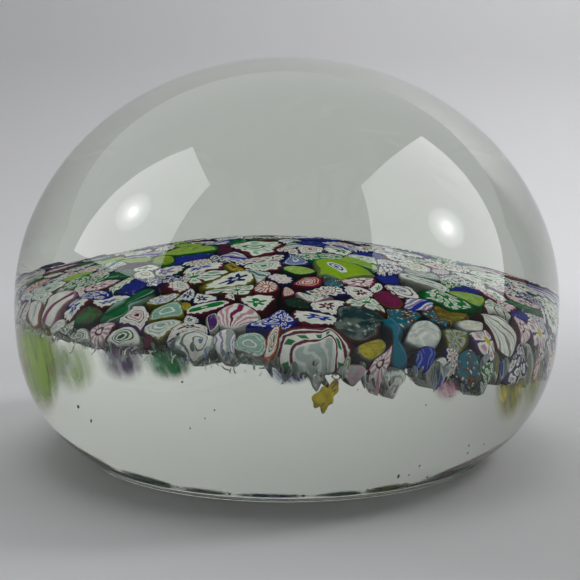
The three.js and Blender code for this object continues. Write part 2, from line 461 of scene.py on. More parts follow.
def caneMaterial(name, paint):
    material, bench = materialBench(name)
    cane = bench.attribute("cane")
    softWave = bench.noise(cane, 1.3, output="Color")
    fineWave = bench.noise(cane, 5.0, output="Color")
    bend, ripple = caneLook["bend"], caneLook["ripple"]
    bent = bench.vector("MULTIPLY_ADD", softWave, (bend, bend, bend), cane)
    bent = bench.vector("MULTIPLY_ADD", fineWave, (ripple, ripple, 0.0), bent)
    bent = bench.vector("SUBTRACT", bent, ((bend + ripple) / 2, (bend + ripple) / 2, bend / 2))
    across, along, _ = bench.split(bent)
    petals, turnBy, size = bench.split(bench.attribute("figure"))
    turn = along.maths("ARCTAN2", across)
    radius = (across * across + along * along).maths("SQRT")
    place = {
        "cane": bent, "across": across, "along": along, "radius": radius, "turn": turn,
        "size": size, "lobes": (turn * petals + turnBy).maths("COSINE"),
        "teeth": (turn * 13.0 + turnBy).maths("COSINE"),
    }
    inks = [bench.attribute("ink" + letter, "Color") for letter in "ABCD"]
    colour = paint(bench, place, inks)
    shade = bench.noise(bent, 3.0, 4.0) * caneLook["cloud"] + caneLook["base"]
    # darker at each chip's edge: partly the cane's own dark jacket, partly painted shade in the
    # seams between chips
    shade = shade * (1 - bench.past(radius, 0.97, 0.06) * caneLook["seam"])
    colour = bench.vector("MULTIPLY", colour, bench.join(shade, shade, shade))
    melt = bench.attribute("melt", "Fac")
    wisp = bench.add("ShaderNodeTexNoise", inputs={"Vector": bent, "Scale": 4.0, "Distortion": 1.0})
    alpha = 1 - melt * bench.past(wisp, 0.42, 0.16) * 0.9
    dullSurface(bench, colour, alpha)
    return material


painters = {
    "star": paintStar, "cog": paintCog, "rings": paintRings, "cluster": paintCluster,
    "ribs": paintRibs, "threads": paintThreads, "scroll": paintScroll, "petals": paintPetals,
    "eye": paintEye, "plain": paintPlain, "speckle": paintSpeckle, "arch": paintArch,
    "feather": paintFeather, "fan": paintFan, "rod": paintRod,
}
caneFinish = {name: caneMaterial(name + "_cane", paint) for name, paint in painters.items()}
print("cane materials made:", len(caneFinish))

# the carpet of cane chips: laid out flat, then bent over its rim

carpet = {
    "radius": 28 * millimetre, "crown": 26.6 * millimetre, "drop": 6.1 * millimetre,
    "lean": math.tan(math.radians(1.2)),
    "bendStart": 24.8 * millimetre, "bendRadius": 5 * millimetre, "bendEnd": math.radians(92),
    "depth": 3.4 * millimetre, "depthChange": 1.0 * millimetre, "deepest": math.radians(-50),
    "fullRim": math.radians(-25), "rimCut": 2.6 * millimetre, "hanging": 1.5 * millimetre,
    "hangTurn": 0.15, "hangFocus": 6,
}
bendAngle = math.atan(2 * carpet["drop"] * carpet["bendStart"] / carpet["radius"] ** 2)
bendCentre = carpet["bendStart"] - carpet["bendRadius"] * math.sin(bendAngle)
bendFloor = (carpet["crown"] - carpet["drop"] * (carpet["bendStart"] / carpet["radius"]) ** 2
             - carpet["bendRadius"] * math.cos(bendAngle))
flatRim = carpet["bendStart"] + carpet["bendRadius"] * (math.radians(90) - bendAngle)
cutStart, cutEnd = math.cos(math.radians(35)), math.cos(math.radians(100))


def rimCut(heading):  # the carpet wraps its rim fully at the right front and less elsewhere
    share = (cutStart - math.cos(heading - carpet["fullRim"])) / (cutStart - cutEnd)
    share = min(1.0, max(0.0, share))
    towards = max(0.0, math.cos(heading - carpet["fullRim"] - carpet["hangTurn"]))
    hanging = carpet["hanging"] * towards ** carpet["hangFocus"]
    return carpet["rimCut"] * share * share * (3 - 2 * share) - hanging


def chipDepth(centre):
    toDeepest = centre[0] * math.cos(carpet["deepest"]) + centre[1] * math.sin(carpet["deepest"])
    share = min(1.0, max(-1.0, toDeepest / carpet["radius"]))
    return carpet["depth"] + carpet["depthChange"] * share


def bendOver(flat, depth):  # flat places and depths below them, as points of the domed carpet
    out = np.maximum(np.linalg.norm(flat, axis=1), 1e-9)
    heading = flat / out[:, None]
    angle = bendAngle + (out - carpet["bendStart"]) / carpet["bendRadius"]
    beyond = np.maximum(0.0, angle - carpet["bendEnd"]) * carpet["bendRadius"]
    onRim = out > carpet["bendStart"]
    angle = np.minimum(angle, carpet["bendEnd"])
    angle = np.where(onRim, angle, np.arctan(2 * carpet["drop"] * out / carpet["radius"] ** 2))
    radius = np.where(onRim, bendCentre + carpet["bendRadius"] * np.sin(angle), out)
    height = np.where(onRim, bendFloor + carpet["bendRadius"] * np.cos(angle),
                      carpet["crown"] - carpet["drop"] * (out / carpet["radius"]) ** 2)
    radius = radius - depth * np.sin(angle)
    height = height - depth * np.cos(angle) - beyond
    points = np.column_stack([heading * radius[:, None], height])
    points[:, 2] -= carpet["lean"] * points[:, 0]
    return points


def flattened(outline):  # an outline seen from above, as it lies before it is bent over
    flat = []
    for index, start in enumerate(outline):
        end = outline[(index + 1) % len(outline)]
        for step in range(6):
            x, y = np.add(start, np.subtract(end, start) * step / 6)
            out = math.hypot(x, y)
            if out > carpet["bendStart"]:
                sine = min(1.0, (out - bendCentre) / carpet["bendRadius"])
                rim = carpet["bendStart"] + carpet["bendRadius"] * (math.asin(sine) - bendAngle)
                x, y = x * rim / out, y * rim / out
            flat.append((float(x), float(y)))
    return flat


chipWork = {
    "fillers": 262, "backDensity": 0.6, "backFrom": 6 * millimetre, "least": 1.0 * millimetre ** 2,
    "spacing": 1.7 * millimetre, "neighbours": 16, "rounds": 4, "nearby": 13 * millimetre,
    "overhang": 0.5 * millimetre,      # how far the cells reach past the rim before they are cut
    "waviness": 0.42 * millimetre,     # how far the fused seams wander
    "relief": 0.05 * millimetre, "rimRelief": 0.22 * millimetre,
    "fullness": 15, "rimFullness": 8,  # how squarely a chip fills its cell
    "tail": 2.6 * millimetre, "tailFrom": 1.6 * millimetre, "tailBlend": 1.8 * millimetre,
    "tailWidth": 0.8 * millimetre, "tailLeast": 0.3, "tailMelt": 0.8, "shortTail": 0.25,
    "longTails": math.radians(-50), "figure": 0.94,
    "overlap": 1.07, "rimOverlap": 0.05, "toppleFrom": 22 * millimetre,
    "rimFrom": 21 * millimetre, "rimBlend": 6 * millimetre, "tilt": 0.015, "rimTilt": 0.07,
    "waves": 9, "waveSum": 2.1,
}
random = np.random.default_rng(11)

# Chips that stand alone: place before bending, width and depth in millimetres, turn in degrees,
# pattern, four inks from the core outwards, petals, figure size, and how far the cane has toppled
ownChips = {
    "amethyst": (-6.5, 0, 2.8, 6, 0, "plain", "amethyst maroon black amethyst", 5, 1.0, 0.1),
    "white_eye": (-3, 0, 4.2, 8, 0, "cog", "green milk mint maroon", 13, 1.0, 0),
    "lime_band": (-10, 1, 6, 5, 0, "plain", "lime paleLime olive green", 5, 1.0, 0),
    "lime_shard": (-12.5, -1.5, 2.4, 4, 0, "plain", "lime olive paleLime green", 5, 1.0, 0),
    "lilac_ringed": (0.5, -5.5, 3.5, 5, 0, "rings", "lilac sky milk navy", 6, 1.1, 0),
    "lime_oval": (5.2, -8, 6.4, 6, 8, "eye", "lime milk cobalt paleLime", 6, 1.0, 0),
    "blue_star": (-6, -12, 4.8, 4, 25, "star", "navy milk milk olive", 6, 1.15, 0),
    "white_cog": (-0.4, -12.2, 2.5, 3.4, 0, "cog", "milk milk rose navy", 12, 1.0, 0),
    "red_ring": (2.2, -12.6, 2.4, 3.4, 0, "rings", "milk red milk maroon", 8, 1.0, 0),
    "orange_cog": (-2.5, -14.6, 2.3, 2.6, 0, "ribs", "red milk orange maroon", 16, 1.0, 0),
    "coral_cog": (-0.2, -16, 2.4, 2.6, 0, "ribs", "red milk orange maroon", 18, 1.0, 0),
    "green_star": (-2.9, -17.8, 2.7, 3.4, 0, "star", "green milk milk maroon", 5, 1.2, 0),
    "star_pair": (-9, -16.1, 2.6, 2.8, 0, "star", "purple milk milk navy", 6, 1.3, 0),
    "green_leaf": (-8.8, -18.7, 3.6, 2.4, 15, "star", "green milk milk maroon", 2, 1.5, 0),
    "purple_dot": (-8, -21.8, 1.8, 2.8, 0, "plain", "purple purple lilac milk", 5, 1.0, 0.2),
    "pink_ribbed": (-5.4, -21.3, 4.6, 4.6, 0, "fan", "rose milk magenta milk", 9, 1.0, 0.15),
    "cobalt_flower": (-1.2, -22.6, 5.6, 3.8, 8, "cluster", "sky milk cobalt cobalt", 6, 1.0, 0),
    "arched_stripe": (3.4, -27.0, 9.6, 6.8, 0, "arch", "frost milk maroon green", 6, 1.0, 0),
    "orange_stripe": (-1.6, -26.2, 2.2, 4.4, -20, "rings", "green milk orange orange", 6, 1.2, 0.8),
    "teal_speckle": (7.8, -21.2, 6, 5.6, 15, "speckle", "deepTeal frost smoke brown", 6, 1.0, 0.2),
    # the teal rod's sky ink is a painted highlight crescent, and its deepTeal ink is painted
    # shading at the edges
    "teal_rod": (12, -23, 2.8, 8.4, 18, "rod", "teal teal sky deepTeal", 6, 1.0, 0),
    "yellow_eye": (9.2, -26.2, 2.2, 3.0, 0, "plain", "yellow olive yellow smoke", 5, 1.0, 0.2),
    "frosted": (14.9, -20.6, 3.4, 5, 0, "plain", "milk frost milk frost", 6, 1.0, 0.2),
    "cobalt_disc": (16, -24, 1.9, 3.2, 10, "threads", "navy sky cobalt cobalt", 6, 1.0, 0.3),
    "yellow_daisy": (19, -19.2, 4.6, 4.6, 45, "petals", "sky frost olive olive", 7, 1.0, 0.4),
    "white_petal": (23.6, -12, 6.2, 8.6, 30, "feather", "green milk maroon maroon", 8, 1.0, 0.1),
    "green_cluster": (16.7, -10.5, 7, 5, 10, "cluster", "milk milk green green", 6, 1.0, 0),
    "magenta": (10.8, -14.6, 3, 4, 0, "plain", "magenta maroon magenta brown", 5, 1.0, 0),
    "teal_scroll": (14.6, -6.6, 4.8, 3.6, 0, "scroll", "teal milk green milk", 5, 1.0, 0),
    "mint_oval": (-12.8, -18, 4, 3.8, 25, "rings", "mint mint milk olive", 5, 1.1, 0),
    "mint_lobe": (-13.6, -21.6, 4, 3.2, 10, "rings", "mint milk frost olive", 5, 1.2, 0.2),
    "green_rod": (-17, -14, 8.4, 3.6, 35, "rod", "bottle green mint mint", 5, 1.0, 0),
    "green_arch": (-19.2, -20.3, 4.2, 4, -45, "rings", "bottle milk green milk", 5, 1.3, 0.6),
    "maroon": (-16, -22.8, 2.4, 2, 0, "plain", "maroon amethyst maroon black", 5, 1.0, 0),
    "cobalt_bloom": (-20.5, -8.2, 5, 3.4, 15, "cluster", "milk milk cobalt cobalt", 7, 1.2, 0),
    "pink_rod": (-24.3, -5.6, 3.2, 7, -25, "threads", "rose milk magenta milk", 5, 1.0, 0.4),
}

# More single chips, which lie in the bundles, told in the same way
looseChips = {
    "brown_yellow": (-5.6, -8, 3.2, 3.6, 10, "plain", "brown yellow olive olive", 5, 1.0, 0),
    "lilac_star": (-12, -6.3, 3.6, 3.4, 0, "star", "lilac milk rose bottle", 5, 1.3, 0),
    "lime_tail": (1, -9.5, 2.6, 2.4, 0, "plain", "paleLime lime milk bottle", 5, 1.0, 0),
    "mauve_eye": (-11.4, -12.2, 4.4, 4, 0, "rings", "mint milk rose maroon", 6, 1.1, 0),
    "small_star": (-6, -17, 2.5, 1.9, 0, "star", "green milk milk maroon", 5, 1.2, 0),
    "navy_white": (-10.6, -20.7, 2, 2.2, 0, "star", "navy milk cobalt navy", 6, 1.0, 0),
    "white_flower": (-13.4, -14.4, 2.6, 2.4, 0, "cog", "lilac milk sky olive", 8, 1.0, 0),
    "dark_green": (1, -19, 2.6, 2.2, 0, "plain", "bottle black green black", 5, 1.0, 0),
    "green_stripe": (2.8, -16.8, 4.4, 1.7, 8, "feather", "green milk bottle rose", 5, 1.0, 0),
    "cream": (19.8, -15.4, 3, 3, 0, "plain", "milk cream frost frost", 5, 1.0, 0.2),
    "cobalt_wave": (10.4, -9, 3.4, 4, 0, "plain", "cobalt navy cobalt navy", 5, 1.0, 0),
    "grey_lobe": (13.2, -28.2, 2.6, 2.8, 0, "scroll", "frost milk smoke frost", 5, 1.1, 0.8),
    "mint_disc": (17.9, -24.6, 1.8, 3, 20, "rings", "mint milk frost milk", 5, 1.0, 0.3),
    "right_lobe": (25.6, -16.8, 2.4, 4, 50, "threads", "milk smoke olive smoke", 5, 1.0, 0.3),
    "far_lobe": (29.4, -9, 2.2, 4, 70, "threads", "milk olive frost smoke", 5, 1.0, 0.3),
    "mauve_grey": (7.8, -29.1, 2.6, 1.6, 0, "plain", "frost rose milk smoke", 5, 1.0, 0),
    "orange_edge": (-27.6, -3, 3.4, 6.4, -15, "threads", "orange milk frost milk", 5, 1.0, 0.4),
    "green_maroon": (-21.4, -13.2, 3.6, 3.4, 0, "plain", "green maroon bottle bottle", 5, 1.0, 0.1),
    "mint_scroll": (-26.2, -10, 3.6, 3.2, 0, "scroll", "mint milk frost milk", 5, 1.0, 0.3),
    "olive_leaf": (-10.8, -17.8, 1.7, 2.2, 60, "plain", "olive yellow olive brown", 5, 1.0, 0),
    "grey_lump": (-24, -15.5, 4, 3, -30, "rings", "mint milk smoke frost", 5, 1.2, 0.5),
    "grey_scroll": (-10, -25.4, 4, 3.4, 0, "scroll", "smoke milk sky frost", 5, 1.0, 0.2),
    "grey_streak": (-6.8, -26, 2.8, 3.6, 0, "threads", "milk lilac frost milk", 5, 1.0, 0.3),
    "mint_ring": (-4, -26.6, 3, 3.4, 0, "rings", "frost mint milk milk", 5, 1.0, 0.3),
}

# Chips of the scramble: how common, pattern, inks, petals, figure size
scrambled = [
    (8, "star", "cobalt milk milk maroon", 6, 1.1),
    (6, "star", "green milk milk purple", 5, 1.1),
    (5, "star", "maroon milk rose navy", 7, 1.0),
    (6, "star", "navy milk cobalt navy", 8, 1.2),
    (7, "cog", "rose milk maroon navy", 12, 1.0),
    (5, "cog", "lilac milk purple amethyst", 14, 1.0),
    (5, "cog", "milk milk green bottle", 10, 1.0),
    (7, "rings", "maroon milk rose purple", 6, 1.0),
    (7, "rings", "cobalt milk sky navy", 6, 1.0),
    (6, "rings", "green milk mint maroon", 6, 1.0),
    (4, "rings", "yellow milk teal deepTeal", 6, 1.1),
    (7, "cluster", "milk milk maroon navy", 6, 1.0),
    (7, "cluster", "milk milk bottle green", 6, 1.0),
    (5, "cluster", "sky milk cobalt navy", 6, 1.0),
    (6, "ribs", "rose milk maroon maroon", 11, 1.0),
    (3, "ribs", "orange milk red maroon", 16, 1.0),
    (5, "threads", "milk milk teal frost", 6, 1.0),
    (7, "threads", "navy milk cobalt lilac", 6, 1.0),
    (5, "scroll", "mint milk green bottle", 6, 1.0),
    (4, "scroll", "purple milk lilac maroon", 6, 1.0),
    (5, "petals", "green milk mint brown", 7, 1.0),
    (4, "petals", "yellow milk rose purple", 6, 1.0),
    (5, "plain", "bottle green mint bottle", 6, 1.0),
    (3, "plain", "lime paleLime mint green", 6, 1.0),
    (6, "plain", "cobalt navy sky navy", 6, 1.0),
    (4, "plain", "amethyst purple maroon black", 6, 1.0),
    (2, "plain", "frost smoke milk smoke", 6, 1.0),
    (3, "plain", "brown olive yellow brown", 6, 1.0),
    (3, "speckle", "teal milk brown deepTeal", 6, 1.0),
]


def cutPolygon(polygon, nx, ny, limit):
    kept = []
    for index, point in enumerate(polygon):
        after = polygon[(index + 1) % len(polygon)]
        here = point[0] * nx + point[1] * ny - limit
        there = after[0] * nx + after[1] * ny - limit
        if here <= 0:
            kept.append(point)
        if (here < 0) != (there < 0):
            share = here / (here - there)
            kept.append((point[0] + (after[0] - point[0]) * share,
                         point[1] + (after[1] - point[1]) * share))
    return kept


def areaAndCentre(polygon):
    area = cx = cy = 0.0
    for index, (x, y) in enumerate(polygon):
        nextX, nextY = polygon[(index + 1) % len(polygon)]
        cross = x * nextY - nextX * y
        area += cross / 2
        cx += (x + nextX) * cross / 6
        cy += (y + nextY) * cross / 6
    return area, (cx / area, cy / area)


def caneOutline(node):
    corners = {(round(vertex.co.x, 6), round(vertex.co.y, 6))
               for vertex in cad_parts[node].data.vertices}
    middleX = sum(x for x, y in corners) / len(corners)
    middleY = sum(y for x, y in corners) / len(corners)
    return sorted(corners, key=lambda corner: math.atan2(corner[1] - middleY, corner[0] - middleX))


def ovalSupport(oval, nx, ny):  # how far an oval reaches from its middle in one direction
    turn = math.radians(oval[4])
    along = nx * math.cos(turn) + ny * math.sin(turn)
    across = -nx * math.sin(turn) + ny * math.cos(turn)
    return math.hypot(along * oval[2] / 2, across * oval[3] / 2) * millimetre


def ovalCell(oval, rivals, fillers):  # what lies round an oval, up to its neighbours' edges
    x, y = oval[0] * millimetre, oval[1] * millimetre
    cell = carpetOutline()
    for step in range(12):  # never much more than the oval itself
        nx, ny = math.cos(step / 6 * math.pi), math.sin(step / 6 * math.pi)
        limit = x * nx + y * ny + ovalSupport(oval, nx, ny) * 1.25
        cell = cutPolygon(cell, nx, ny, limit)
    for rival in rivals:
        dx, dy = rival[0] * millimetre - x, rival[1] * millimetre - y
        apart = math.hypot(dx, dy)
        if 0 < apart < 12 * millimetre:
            nx, ny = dx / apart, dy / apart
            mine, theirs = ovalSupport(oval, nx, ny), ovalSupport(rival, nx, ny)
            edge = mine + (apart - mine - theirs) * mine / (mine + theirs)
            cell = cutPolygon(cell, nx, ny, x * nx + y * ny + edge)
    for fx, fy in fillers:
        if math.hypot(fx - x, fy - y) < chipWork["nearby"]:
            nx, ny = ovalNormal(oval, fx - x, fy - y)
            cell = cutPolygon(cell, nx, ny, x * nx + y * ny + ovalSupport(oval, nx, ny))
    return cell


def carpetOutline():
    outline = []
    for step in range(48):
        heading = step / 48 * 2 * math.pi
        edge = flatRim + chipWork["overhang"] - rimCut(heading)
        outline.append((edge * math.cos(heading), edge * math.sin(heading)))
    return outline


def insideOval(x, y, oval, margin):
    turn = math.radians(oval[4])
    dx, dy = x / millimetre - oval[0], y / millimetre - oval[1]
    along = dx * math.cos(turn) + dy * math.sin(turn)
    across = -dx * math.sin(turn) + dy * math.cos(turn)
    return math.hypot(along / (oval[2] / 2 + margin), across / (oval[3] / 2 + margin)) < 1


def fillerCells(ovals):  # chips between the ovals, round scattered places that are evened out
    border = carpetOutline()
    places = []
    while len(places) < chipWork["fillers"]:
        x, y = random.uniform(-flatRim, flatRim, 2)
        thin = y > chipWork["backFrom"] and random.uniform() > chipWork["backDensity"]
        crowded = any(math.hypot(x - px, y - py) < chipWork["spacing"] for px, py in places)
        if math.hypot(x, y) > flatRim - rimCut(math.atan2(y, x)) or thin or crowded:
            continue
        if not any(insideOval(x, y, oval, 0.8) for oval in ovals):
            places.append((x, y))
    for turns in range(chipWork["rounds"]):
        cells = []
        for index, (x, y) in enumerate(places):
            cell = border
            near = sorted((math.hypot(px - x, py - y), px, py)
                          for other, (px, py) in enumerate(places) if other != index)
            for apart, px, py in near[:chipWork["neighbours"]]:
                nx, ny = (px - x) / apart, (py - y) / apart
                cell = cutPolygon(cell, nx, ny, ((x + px) * nx + (y + py) * ny) / 2)
            for oval in ovals:
                dx, dy = x - oval[0] * millimetre, y - oval[1] * millimetre
                apart = math.hypot(dx, dy)
                if apart < chipWork["nearby"]:  # keeps to its own side of the oval's edge
                    nx, ny = ovalNormal(oval, dx, dy)
                    middle = (oval[0] * nx + oval[1] * ny) * millimetre
                    cell = cutPolygon(cell, -nx, -ny, -(middle + ovalSupport(oval, nx, ny)))
            cells.append(cell)
        if turns + 1 < chipWork["rounds"]:
            places = [areaAndCentre(cell)[1] if len(cell) > 2 else place
                      for cell, place in zip(cells, places)]
    kept = [(cell, place) for cell, place in zip(cells, places)
            if len(cell) > 2 and areaAndCentre(cell)[0] > chipWork["least"]]
    return [cell for cell, place in kept], [place for cell, place in kept]


def ovalNormal(oval, dx, dy):
    turn = math.radians(oval[4])
    along = dx * math.cos(turn) + dy * math.sin(turn)
    across = -dx * math.sin(turn) + dy * math.cos(turn)
    nx, ny = along / oval[2] ** 2, across / oval[3] ** 2
    length = math.hypot(nx, ny)
    nx, ny = nx / length, ny / length
    return nx * math.cos(turn) - ny * math.sin(turn), nx * math.sin(turn) + ny * math.cos(turn)


def ballPoints(levels):
    ball = bmesh.new()
    bmesh.ops.create_icosphere(ball, subdivisions=levels, radius=1.0)
    points = np.array([vertex.co.normalized()[:] for vertex in ball.verts])
    faces = [tuple(vertex.index for vertex in face.verts) for face in ball.faces]
    ball.free()
    return points, faces


def sidePlanes(cell, centre):  # directions and distances of an outline's sides
    kept, bendSoFar = [], 0.0
    for index, point in enumerate(cell):
        before = np.subtract(point, cell[index - 1])
        after = np.subtract(cell[(index + 1) % len(cell)], point)
        bendSoFar += math.atan2(before[0] * after[1] - before[1] * after[0], before @ after)
        if bendSoFar > math.radians(16):
            kept.append(point)
            bendSoFar = 0.0
    if len(kept) < 3:
        kept = cell
    normals, distances = [], []
    for index, point in enumerate(kept):
        side = np.subtract(kept[(index + 1) % len(kept)], point)
        length = np.linalg.norm(side)
        if length < 0.1 * millimetre:
            continue
        normal = np.array([side[1], -side[0]]) / length
        normals.append(normal)
        distances.append(max(0.35 * millimetre, float(normal @ np.subtract(point, centre))))
    return np.array(normals), np.array(distances)


def reachOf(directions, normals, distances, fullness):
    facing = np.maximum(0.0, directions @ normals.T) / distances
    return (facing ** fullness).sum(axis=1) ** (-1 / fullness)


waveHeadings = random.uniform(0, 2 * math.pi, chipWork["waves"])
waveLengths = random.uniform(3.0, 9.0, chipWork["waves"]) * millimetre
waveStarts = random.uniform(0, 2 * math.pi, (chipWork["waves"], 2))


def seamWander(flat):  # one smooth field for the whole carpet, so that neighbours stay fused
    total = np.zeros_like(flat)
    for heading, length, start in zip(waveHeadings, waveLengths, waveStarts):
        phase = (flat @ (math.cos(heading), math.sin(heading))) / length * 2 * math.pi
        total += np.sin(phase[:, None] + start) * chipWork["waviness"] / chipWork["waveSum"]
    return total


fineBall, plainBall = ballPoints(5), ballPoints(4)


def chipMesh(name, cell, recipe, large):
    pattern, inkNames, petals, size, toppled = recipe
    centre = areaAndCentre(cell)[1]
    out = math.hypot(*centre)
    rimness = min(1.0, max(0.0, (out - chipWork["rimFrom"]) / chipWork["rimBlend"]))
    directions, faces = fineBall if large else plainBall
    sides, distances = sidePlanes(cell, centre)
    half = chipDepth(centre) / 2
    tilt = random.normal(size=2) * (chipWork["tilt"] + chipWork["rimTilt"] * rimness)
    top = np.array([tilt[0], tilt[1], 1.0])
    top /= np.linalg.norm(top)
    relief = chipWork["relief"] + (chipWork["rimRelief"] - chipWork["relief"]) * rimness
    rise = random.uniform(-1, 1) * relief
    normals = np.vstack([np.column_stack([sides, np.zeros(len(sides))]), top, -top])
    overlap = chipWork["overlap"] + chipWork["rimOverlap"] * rimness
    spans = np.append(distances * overlap, [half + rise, half])
    fullness = chipWork["fullness"] + (chipWork["rimFullness"] - chipWork["fullness"]) * rimness
    shape = directions * reachOf(directions, normals, spans, fullness)[:, None]
    depth = half - shape[:, 2]

    inward = -np.array(centre) / max(out, 1e-6)
    if rimness == 0 and not large:
        spin = random.uniform(0, 2 * math.pi)
        inward = np.array([math.cos(spin), math.sin(spin)])
    beside = np.array([inward[1], -inward[0]])
    section = shape[:, :2] + np.maximum(0, depth)[:, None] * inward * toppled
    length = np.maximum(np.linalg.norm(section, axis=1), 1e-9)
    reach = chipWork["figure"] * length / reachOf(section / length[:, None], sides, distances, 6)
    turn = np.arctan2(section @ inward, section @ beside)
    along = depth / (2 * millimetre) + random.uniform(0, 20)
    cane = np.column_stack([reach * np.cos(turn), reach * np.sin(turn), along])

    flat = shape[:, :2] + centre
    flat = flat + seamWander(flat)
    melt = np.zeros(len(shape))
    outward = np.linalg.norm(flat, axis=1)
    around = math.atan2(centre[1], centre[0])
    rim = flatRim - rimCut(around)
    low = np.clip((outward - rim + chipWork["tailFrom"]) / chipWork["tailBlend"], 0, 1)
    if low.max() > chipWork["tailLeast"]:  # the lowest chips run down in tails
        towards = max(0.0, math.cos(around - chipWork["longTails"]))
        share = chipWork["shortTail"] + (1 - chipWork["shortTail"]) * towards
        tail = random.uniform(0.1, 1.0) * chipWork["tail"] * share
        heading = np.array([math.cos(around), math.sin(around)])
        across = (flat - centre) @ np.array([-heading[1], heading[0]])
        swell = np.exp(-(across / chipWork["tailWidth"]) ** 2)
        flat += heading * (low ** 2 * tail * swell)[:, None]
        melt = low ** 2 * chipWork["tailMelt"] * swell * tail / chipWork["tail"]
    points = bendOver(flat, depth)

    mesh = smoothMesh(name, points.tolist(), faces)
    storeCane(mesh, cane, melt, inkNames)
    storeFigure(mesh, petals, random.uniform(0, 2 * math.pi), size)
    mesh.materials.append(caneFinish[pattern])
    return mesh


def scrambledRecipe(centre):
    weights = np.array([row[0] for row in scrambled], dtype=float)
    row = scrambled[random.choice(len(scrambled), p=weights / weights.sum())]
    onRim = math.hypot(*centre) > chipWork["toppleFrom"]  # canes here have toppled outwards
    toppled = random.uniform(0.2, 1.4) if onRim else random.uniform(-0.4, 0.4)
    return (*row[1:], toppled)


def makeChips():
    canes = {node: caneOutline(node) for node in sorted(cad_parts) if "cane" in node}
    middles = {node: areaAndCentre(flattened(outline))[1] for node, outline in canes.items()}

    def nearestNode(centre, choices):
        return min(choices, key=lambda node: math.dist(middles[node], centre))

    chips = []
    ovals = [row[:5] for row in [*ownChips.values(), *looseChips.values()]]
    fillers, places = fillerCells(ovals)
    for title, row in [*ownChips.items(), *looseChips.items()]:
        cell = ovalCell(row[:5], ovals, places)
        node = title + "_cane"
        if node not in canes:
            bundles = [name for name in canes if "bundle" in name]
            node = nearestNode(areaAndCentre(cell)[1], bundles)
        chips.append((title + "_chip", cell, row[5:], node, True))
    for index, cell in enumerate(fillers):
        centre = areaAndCentre(cell)[1]
        name = f"scramble_chip_{index + 1:03d}"
        chips.append((name, cell, scrambledRecipe(centre), nearestNode(centre, canes), False))
    standsFor = {name: [node] for name, cell, recipe, node, large in chips}
    covered = {node for nodes in standsFor.values() for node in nodes}
    for node in sorted(set(canes) - covered):
        closest = min(chips, key=lambda chip: math.dist(areaAndCentre(chip[1])[1], middles[node]))
        standsFor[closest[0]].append(node)
    for name, cell, recipe, node, large in chips:
        placed(name, chipMesh(name, cell, recipe, large), standsFor[name])
    return len(chips)


print("chips laid:", makeChips())

# threads and frills that hang from the rim, colour smears that stand in for refracted images of
# chips (painted refractions), and the seeds in the glass

fringe = {
    "Count": 420, "Rim": 27.2 * millimetre, "Height": 17.0 * millimetre,
    "Length": 0.9 * millimetre, "Thickness": 0.08 * millimetre, "Sway": 0.6 * millimetre,
    "Rise": 1.7 * millimetre, "Seed": 4,
}


def rimSpots(bench, size):  # scattered places just under the rim, and how far it is cut there
    ring = bench.add("GeometryNodeMeshCircle", inputs={
        "Vertices": size["Count"], "Radius": size["Rim"]})
    x, y, _ = bench.split(bench.add("GeometryNodeInputPosition"))
    jitter = bench.add("FunctionNodeRandomValue", {"data_type": "FLOAT_VECTOR"}, {
        "Min": (-1.0, -1.0, -1.0), "Max": (1.0, 1.0, 1.0), "Seed": size["Seed"]})
    jitter = bench.add("ShaderNodeVectorMath", {"operation": "SCALE"}, {
        "Vector": jitter, "Scale": size["Sway"]})
    ahead = (x * math.cos(carpet["fullRim"]) + y * math.sin(carpet["fullRim"])) / size["Rim"]
    middle, spread = (cutStart + cutEnd) / 2, (cutStart - cutEnd) / 2
    cut = bench.past(middle - ahead, 0.0, spread)
    lift = bench.join(0.0, 0.0, size["Height"] + cut * size["Rise"] - x * carpet["lean"])
    spots = bench.add("GeometryNodeSetPosition", inputs={
        "Geometry": ring, "Offset": bench.vector("ADD", jitter, lift)})
    return spots, cut


def strewn(bench, spots, shape, scale, turn=(0.0, 0.0, 0.0)):
    return bench.add("GeometryNodeInstanceOnPoints", inputs={
        "Points": spots, "Instance": shape, "Rotation": turn,
        "Scale": bench.join(scale, scale, scale)})


def growFringe(material):  # short bent threads, told a millimetre long and then scaled
    bench, size = treeBench("rim_fringe", fringe)
    spots, _ = rimSpots(bench, size)
    line = bench.add("GeometryNodeCurveQuadraticBezier", inputs={
        "Resolution": 6, "Start": (0.0, 0.0, 0.0), "Middle": (0.0003, 0.0, -0.0006),
        "End": (-0.0001, 0.0002, -0.001)})
    along = bench.add("GeometryNodeSplineParameter")
    line = bench.add("GeometryNodeSetCurveRadius", inputs={"Curve": line, "Radius": 1.05 - along})
    section = bench.add("GeometryNodeCurvePrimitiveCircle", inputs={
        "Resolution": 5, "Radius": size["Thickness"] / (size["Length"] * 1000)})
    thread = bench.add("GeometryNodeCurveToMesh", inputs={
        "Curve": line, "Profile Curve": section, "Fill Caps": True})
    turn = bench.add("FunctionNodeRandomValue", {"data_type": "FLOAT_VECTOR"}, {
        "Min": (-0.9, -0.9, 0.0), "Max": (0.9, 0.9, 6.3), "Seed": 9})
    grow = bench.add("FunctionNodeRandomValue", inputs={2: 0.35, 3: 1.3, "Seed": 12}, output=1)
    threads = strewn(bench, spots, thread, size["Length"] * 1000 * grow, turn)
    return grown("rim_fringe", bench, threads, material, fringe)


def threadFinish():
    material, bench = materialBench("frayed_thread")
    place = bench.add("ShaderNodeTexCoord", output="Object")
    tone = bench.noise(place, 700.0, 1.0)
    colour = bench.mix(bench.past(tone, 0.5, 0.12), glassInks["milk"], glassInks["smoke"])
    patches = bench.past(bench.noise(place, 220.0, 1.0), 0.66, 0.04)
    colour = bench.mix(patches, colour, glassInks["brown"])
    dullSurface(bench, colour)
    return material


placed("rim_fringe", growFringe(threadFinish()))

wisps = {
    "Count": 190, "Rim": 27.6 * millimetre, "Height": 16.9 * millimetre, "Rise": 1.9 * millimetre,
    "Width": 0.7 * millimetre, "Length": 1.5 * millimetre, "Sway": 0.9 * millimetre, "Seed": 8,
}


